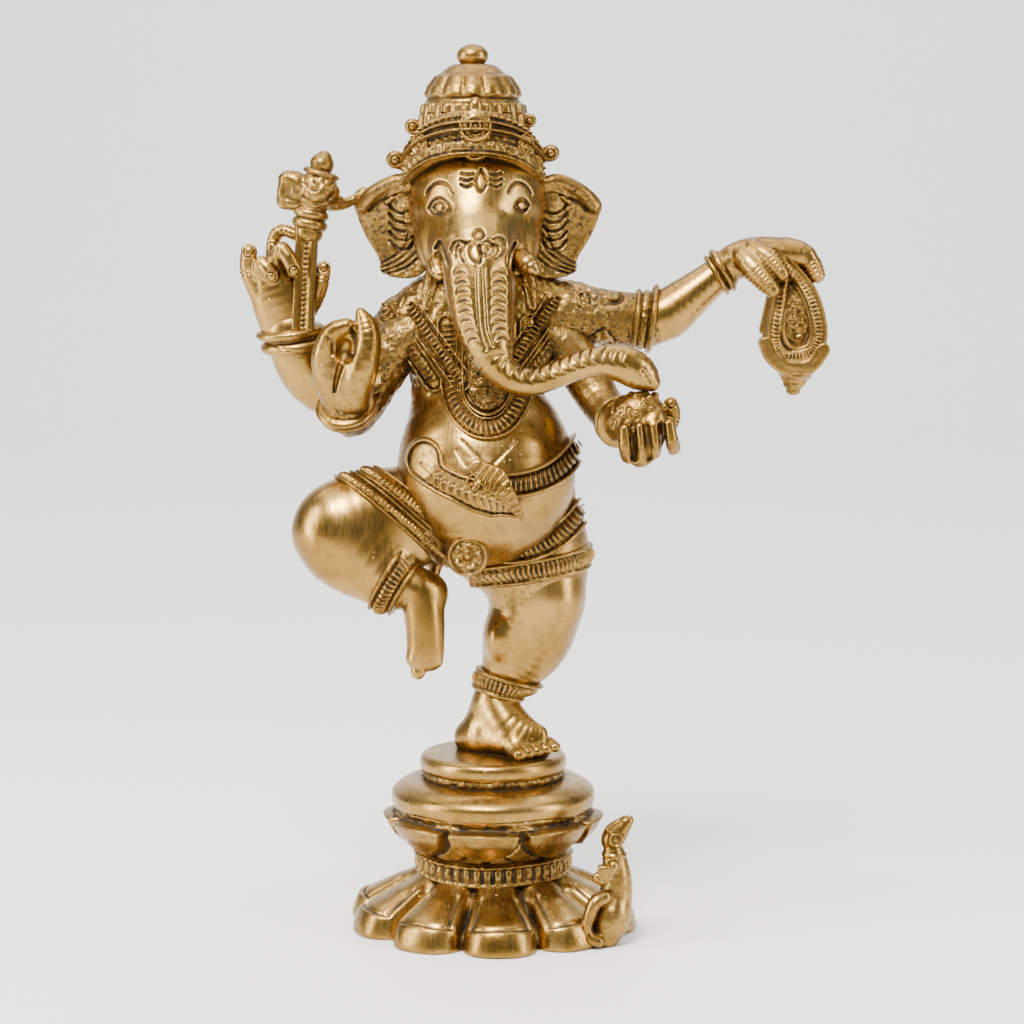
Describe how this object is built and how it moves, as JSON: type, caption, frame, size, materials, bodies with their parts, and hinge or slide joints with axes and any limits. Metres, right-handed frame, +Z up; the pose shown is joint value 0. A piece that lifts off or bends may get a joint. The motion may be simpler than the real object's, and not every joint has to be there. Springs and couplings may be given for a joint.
{
  "type": "brass dancing ganesha statue",
  "caption": "Brass statue of a dancing, elephant-headed, many-armed figure on one leg on a lotus pedestal, with a mouse at its foot.",
  "frame": {"origin": "middle of the whole statue's footprint box, on the surface that it stands on", "axes": "+Z up, the figure faces -Y, +X towards the figure's own left hand side"},
  "size_m": [0.1426, 0.0744, 0.22],
  "materials": {
    "brass": "polished high spots with dark patina in the recesses"
  },
  "bodies": {
    "root": {"axe_bangles": "brass", "axe_forearm": "brass", "axe_hand": "brass", "axe_handle": "brass", "axe_head": "brass", "axe_tie": "brass", "axe_upper_arm": "brass", "belt_medallion": "brass", "blessing_arm": "brass", "blessing_bangle": "brass", "blessing_hand": "brass", "bowl_arm": "brass", "bowl_bangle": "brass", "bowl_hand": "brass", "crown_band": "brass", "crown_bud_left_high": "brass", "crown_bud_left_low": "brass", "crown_bud_right_high": "brass", "crown_bud_right_low": "brass", "crown_dome": "brass", "crown_finial": "brass", "crown_medallion": "brass", "dhoti": "brass", "dhoti_fold": "brass", "foot_disc": "brass", "head": "brass", "left_ear": "brass", "left_tusk": "brass", "leg_hem": "brass", "long_necklace": "brass", "lotus_base": "brass", "lotus_cushion": "brass", "mouse_body": "brass", "mouse_head": "brass", "mouse_sweet": "brass", "necklace_pendant": "brass", "noose": "brass", "noose_armlet": "brass", "noose_bangle": "brass", "noose_forearm": "brass", "noose_hand": "brass", "noose_upper_arm": "brass", "raised_anklet": "brass", "raised_foot": "brass", "raised_knee": "brass", "raised_shin": "brass", "ribbed_collar": "brass", "right_ear": "brass", "right_tusk": "brass", "sash_end": "brass", "standing_anklet": "brass", "standing_foot": "brass", "standing_leg": "brass", "sweet_bowl": "brass", "thigh_hem": "brass", "torso": "brass", "trunk": "brass", "upper_lotus": "brass", "waist_sash": "brass"}
  },
  "joints": []
}
